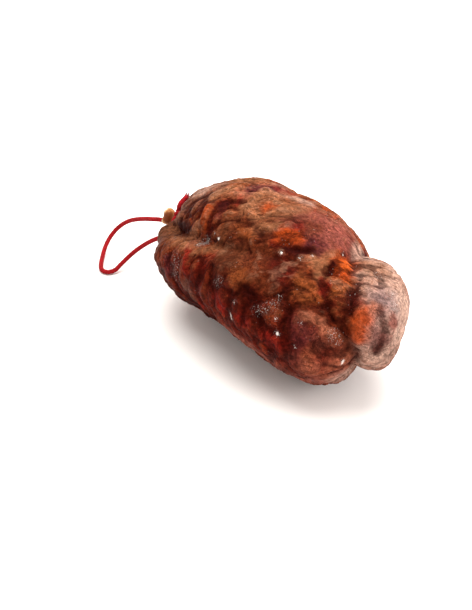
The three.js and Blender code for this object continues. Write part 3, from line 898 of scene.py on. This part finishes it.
class Shader:
    """A material's nodes, built one by one."""

    def __init__(self, name):
        self.material = bpy.data.materials.new(name)
        self.material.use_nodes = True
        self.tree = self.material.node_tree
        self.surface = self.tree.nodes["Principled BSDF"]
        self.place = self.tree.nodes.new("ShaderNodeTexCoord").outputs["Object"]

    def link(self, value, socket):
        if isinstance(value, bpy.types.NodeSocket):
            self.tree.links.new(value, socket)
        else:
            socket.default_value = value

    def set(self, **values):
        for name, value in values.items():
            self.link(value, self.surface.inputs[name.replace("_", " ")])

    def field(self, name, output="Fac"):
        node = self.tree.nodes.new("ShaderNodeAttribute")
        node.attribute_name = name
        return node.outputs[output]

    def slanted(self, sizes):
        """Places turned along the wrinkles' direction and divided by sizes along, across and upward."""
        node = self.tree.nodes.new("ShaderNodeMapping")
        node.vector_type = "TEXTURE"
        node.inputs["Rotation"].default_value = (0, 0, SLANT)
        node.inputs["Scale"].default_value = sizes
        self.link(self.place, node.inputs["Vector"])
        return node.outputs["Vector"]

    def noise(self, scale, detail=4.0, roughness=0.55, stretch=None, distortion=0.0):
        """Noise, which can be stretched by sizes along the wrinkles' direction, across it and upward."""
        node = self.tree.nodes.new("ShaderNodeTexNoise")
        node.inputs["Scale"].default_value = scale
        node.inputs["Detail"].default_value = detail
        node.inputs["Roughness"].default_value = roughness
        node.inputs["Distortion"].default_value = distortion
        self.link(self.slanted(stretch) if stretch else self.place, node.inputs["Vector"])
        return node.outputs["Fac"]

    def cells(self, scale):
        node = self.tree.nodes.new("ShaderNodeTexVoronoi")
        node.inputs["Scale"].default_value = scale
        self.link(self.place, node.inputs["Vector"])
        return node.outputs["Distance"]

    def math(self, operation, a, b=0.0, clamp=False):
        node = self.tree.nodes.new("ShaderNodeMath")
        node.operation = operation
        node.use_clamp = clamp
        self.link(a, node.inputs[0])
        self.link(b, node.inputs[1])
        return node.outputs[0]

    def plus(self, a, b, clamp=False):
        return self.math("ADD", a, b, clamp)

    def times(self, a, b):
        return self.math("MULTIPLY", a, b)

    def ramp(self, value, low, high, to_low=0.0, to_high=1.0):
        """value taken from low..high to to_low..to_high, with soft ends."""
        node = self.tree.nodes.new("ShaderNodeMapRange")
        node.interpolation_type = "SMOOTHSTEP"
        for name, number in (("From Min", low), ("From Max", high), ("To Min", to_low), ("To Max", to_high)):
            node.inputs[name].default_value = number
        self.link(value, node.inputs["Value"])
        return node.outputs["Result"]

    def mix(self, amount, a, b, blend="MIX"):
        node = self.tree.nodes.new("ShaderNodeMix")
        node.data_type = "RGBA"
        node.blend_type = blend
        for value, socket in ((amount, node.inputs[0]), (a, node.inputs[6]), (b, node.inputs[7])):
            self.link((*value, 1.0) if isinstance(value, tuple) else value, socket)
        return node.outputs[2]

    def grey(self, value):
        node = self.tree.nodes.new("ShaderNodeCombineColor")
        for k in range(3):
            self.link(value, node.inputs[k])
        return node.outputs["Color"]

    def bump(self, height, distance, strength=1.0, under=None):
        node = self.tree.nodes.new("ShaderNodeBump")
        node.inputs["Distance"].default_value = distance
        node.inputs["Strength"].default_value = strength
        self.link(height, node.inputs["Height"])
        if under is not None:
            self.link(under, node.inputs["Normal"])
        return node.outputs["Normal"]


MAROON = (0.065, 0.005, 0.002)
RED_BROWN = (0.108, 0.016, 0.006)
BROWN = (0.140, 0.034, 0.012)
TAN = (0.235, 0.080, 0.032)
# dry casing skin on raised lines, put on only where the skin faces up, so partly painted sheen
GREY_SKIN_AND_SHEEN = (0.23, 0.105, 0.062)
RUST = (0.25, 0.036, 0.006)
# painted shade for the folds and creases
FOLD_SHADE = (0.020, 0.0018, 0.001)
# white of the bloom and salt, and of painted glints
SALT_AND_GLINT = (0.78, 0.72, 0.66)
# How much lighter the meat is on top and on lumps, which is painted light, and in streaks and in clouds,
# which is its own uneven tone.
LIGHTER = (0.24, 0.42, 0.9, 0.7)
# Its colours over the maroon: the lightness from which and by which each comes in, and how fully.
MEAT = [(0.10, 0.36, 1.0, RED_BROWN), (0.28, 0.52, 1.0, BROWN), (0.48, 0.82, 0.9, TAN)]
# Noises: scale per metre, detail, roughness, sizes along, across and upward, distortion.
STREAKS = (190, 6, 0.65, (1.6, 1, 1.6), 0.9)
FIBRES = (480, 5, 0.72, (1.5, 1, 1.5), 0.5)
VEINS = (230, 4, 0.65, (1.7, 1, 1.7), 1.0)
SHRIVELS = (330, 6, 0.6, (1.8, 1, 1.8))
CLOUDS = (75, 4)
BLOTS = (240, 5, 0.62)
RUSTING = (110, 3, 0.5)
EVEN_FIBRES = (520, 5, 0.75)
SPECKS = (800, 4, 0.65)
GRAINS = (1500, 3, 0.6)
PORES = (1300, 3, 0.6)
DUST = 430
SHRIVEL_DEPTH, PORE_DEPTH = 0.0010, 0.00025  # in metres
CASING_SHINE = 0.008


def lit_meat_colour(s, top, raised, streaks, clouds, blots):
    """Brown meat seen through the casing, with rusty blots, and painted light: lighter where the skin faces
    up and on lumps.
    """
    # painted light: the skin that faces up and the lumps are lighter
    light = s.plus(s.times(top, LIGHTER[0]), s.times(raised, LIGHTER[1]))
    light = s.plus(light, s.times(s.math("SUBTRACT", streaks, 0.5), LIGHTER[2]))
    light = s.plus(light, s.times(s.math("SUBTRACT", clouds, 0.5), LIGHTER[3]))
    colour = MAROON
    for low, high, most, lighter in MEAT:
        colour = s.mix(s.ramp(light, low, high, 0, most), colour, lighter)
    rust = s.times(s.ramp(s.noise(*RUSTING), 0.55, 0.66), s.ramp(blots, 0.36, 0.56))
    return s.mix(s.times(rust, 0.75), colour, RUST)


def skin_sheen_and_fold_shade(s, colour, top, raised, streaks):
    """The casing's dry skin on raised lines, shown only where the skin faces up, so partly painted sheen,
    and painted shade in the folds and creases.
    """
    skin = s.times(s.ramp(raised, 0.55, 0.85), s.ramp(streaks, 0.42, 0.62))
    # partly painted sheen: the skin shows only where it faces up
    colour = s.mix(s.times(skin, s.times(top, 0.4)), colour, GREY_SKIN_AND_SHEEN)
    # painted shade: low folds and the large creases go near black
    fold, crease = s.ramp(raised, 0.50, 0.24, 0, 0.85), s.ramp(s.field("crease"), 0.3, 0.9, 0, 0.6)
    return s.mix(s.times(s.plus(fold, crease, clamp=True), 0.8), colour, FOLD_SHADE)


def fibrous(s, colour, clouds):
    """The colour with fine fibres, which are streaky but where the casing is taut, and pale veins."""
    taut = s.field("taut")
    streaky = s.times(s.noise(*FIBRES), s.math("SUBTRACT", 1.0, taut))
    fibre = s.plus(streaky, s.times(s.noise(*EVEN_FIBRES), taut))
    veins = s.math("ABSOLUTE", s.math("SUBTRACT", s.noise(*VEINS), 0.5))
    veins = s.times(s.ramp(veins, 0.024, 0.002), s.ramp(clouds, 0.38, 0.60, 0.3, 1.1))
    return s.mix(1.0, colour, s.grey(s.plus(s.ramp(fibre, 0.36, 0.66, 0.5, 1.35), veins)), "MULTIPLY")


def bloom_and_glints(s, speck, clouds):
    """How much white bloom and salt there is, with painted glints."""
    chalk_and_glints = s.field("chalk_and_glints")
    grains = s.times(s.ramp(s.noise(*GRAINS), 0.53, 0.66), s.ramp(speck, 0.40, 0.60))
    grainy = s.times(chalk_and_glints, s.math("MAXIMUM", grains, s.ramp(chalk_and_glints, 0.75, 0.95)))
    dust = s.times(s.ramp(s.cells(DUST), 0.16, 0.06), s.ramp(clouds, 0.52, 0.64, 0, 0.2))
    return s.math("MAXIMUM", grainy, dust)


def casing_material():
    s = Shader("dried_casing")
    streaks, clouds, blots, speck = (s.noise(*kind) for kind in (STREAKS, CLOUDS, BLOTS, SPECKS))
    top, raised = s.field("top"), s.field("raised")
    colour = lit_meat_colour(s, top, raised, streaks, clouds, blots)
    cover = s.times(s.field("patch", "Alpha"), s.ramp(blots, 0.30, 0.50, 0.62, 1.0))
    colour = s.mix(cover, colour, s.field("patch", "Color"))
    colour = fibrous(s, skin_sheen_and_fold_shade(s, colour, top, raised, streaks), clouds)
    salt_and_glints = bloom_and_glints(s, speck, clouds)
    colour = s.mix(s.times(salt_and_glints, 0.9), colour, SALT_AND_GLINT)
    gloss = s.plus(s.ramp(speck, 0.3, 0.7, 0.34, 0.50), s.times(salt_and_glints, 0.25))
    normal = s.bump(s.noise(*PORES), PORE_DEPTH, 0.7, s.bump(s.noise(*SHRIVELS), SHRIVEL_DEPTH, 0.8))
    s.set(Base_Color=colour, Roughness=gloss, Normal=normal, Specular_IOR_Level=CASING_SHINE)
    return s.material


THROAT = ((0.30, 0.090, 0.018), (0.50, 0.24, 0.080))  # darker and lighter streaks; the throat's orange-brown under the pale rim is partly the casing's colour and partly painted shade
PALE_RIM = ((0.50, 0.30, 0.15), (0.74, 0.55, 0.34))
# painted shade in the furrows between the neck's pleats
NECK_FURROW_SHADE = (0.24, 0.065, 0.012)
# painted shade of the flared end's hollow
NECK_HOLLOW_SHADE = (0.13, 0.024, 0.003)
# painted shade on the inside of the flared end
NECK_HOLLOW = (0.30, 0.075, 0.014)


def neck_material():
    s = Shader("dried_casing_end")
    streak = s.noise(700, 4, 0.6)
    throat, rim = (s.mix(s.ramp(streak, 0.38, 0.62), *pair) for pair in (THROAT, PALE_RIM))
    colour = s.mix(s.field("rim"), throat, rim)
    # painted shade: the pleats' furrows go darker
    colour = s.mix(s.ramp(s.field("pleat"), 0.10, -0.30, 0, 0.85), colour, NECK_FURROW_SHADE)
    # painted shade in the flared end's hollow
    colour = s.mix(s.ramp(s.field("hollow_shade"), 0.08, 0.50, 0, 0.95), colour, NECK_HOLLOW_SHADE)
    # painted shade inside the flared end
    colour = s.mix(s.times(s.field("inside"), 0.85), colour, NECK_HOLLOW)
    s.set(Base_Color=colour, Roughness=0.5, Specular_IOR_Level=0.15, Normal=s.bump(streak, 0.0003, 0.7))
    return s.material


COTTON = ((0.20, 0.0015, 0.003), (0.29, 0.003, 0.006))  # darker and lighter


def string_material():
    s = Shader("red_cotton")
    fibre = s.noise(2400, 4, 0.6)
    colour = s.mix(s.ramp(s.noise(500, 3), 0.35, 0.65), *COTTON)
    s.set(Base_Color=colour, Roughness=0.8, Specular_IOR_Level=0.15, Normal=s.bump(fibre, 0.00025, 0.8))
    return s.material


TABLE = (0.90, 0.862, 0.835, 1)


def floor_material():
    s = Shader("pale_table")
    s.set(Base_Color=TABLE, Roughness=0.8, Specular_IOR_Level=0.1)
    return s.material


# The table and the light

# In metres, in the part's frame.
FLOOR_SIZE = 5.0
LIGHT_AIM = Vector((0.0, 0.0, 0.03))
LIGHTS = [  # name, direction towards it, distance, size, watts, colour
    ("key", (-0.20, 0.12, 0.97), 2.4, 2.8, 108, (1.0, 0.99, 0.975)),
    ("side", (0.80, 0.50, 0.62), 2.2, 2.4, 40, (1.0, 0.99, 0.98)),
]
SKY = (1.0, 0.965, 0.935)
SKY_STRENGTH = 0.84


def make_surroundings():
    half = FLOOR_SIZE / 2
    corners = [(-half, -half, 0), (half, -half, 0), (half, half, 0), (-half, half, 0)]
    mesh = bpy.data.meshes.new("table_top")
    mesh.from_pydata(corners, [], [(0, 1, 2, 3)])
    mesh.materials.append(floor_material())
    floor = bpy.data.objects.new("table_top", mesh)
    bpy.context.scene.collection.objects.link(floor)
    for name, toward, distance, size, watts, colour in LIGHTS:
        data = bpy.data.lights.new(name, "AREA")
        data.shape = "DISK"
        data.size, data.energy, data.color = size, watts, colour
        light = bpy.data.objects.new(name, data)
        toward = Vector(toward).normalized()
        light.location = LIGHT_AIM + toward * distance
        light.rotation_euler = toward.to_track_quat("Z", "Y").to_euler()
        bpy.context.scene.collection.objects.link(light)
    world = bpy.data.worlds.new("studio")
    world.use_nodes = True
    sky = world.node_tree.nodes["Background"]
    sky.inputs["Color"].default_value = (*SKY, 1)
    sky.inputs["Strength"].default_value = SKY_STRENGTH
    bpy.context.scene.world = world
    bpy.context.scene.view_settings.view_transform = "Standard"


make_camera()
cotton = string_material()
loop, loop_route, loop_length = make_loop(cotton)
tie = make_tie(cotton)
metres(LOOP[0])
metres(loop_route)

body = make_body(casing_material())
neck = make_neck(neck_material())
for piece in (body, neck):
    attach(piece, "root")
    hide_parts("sausage")

make_surroundings()
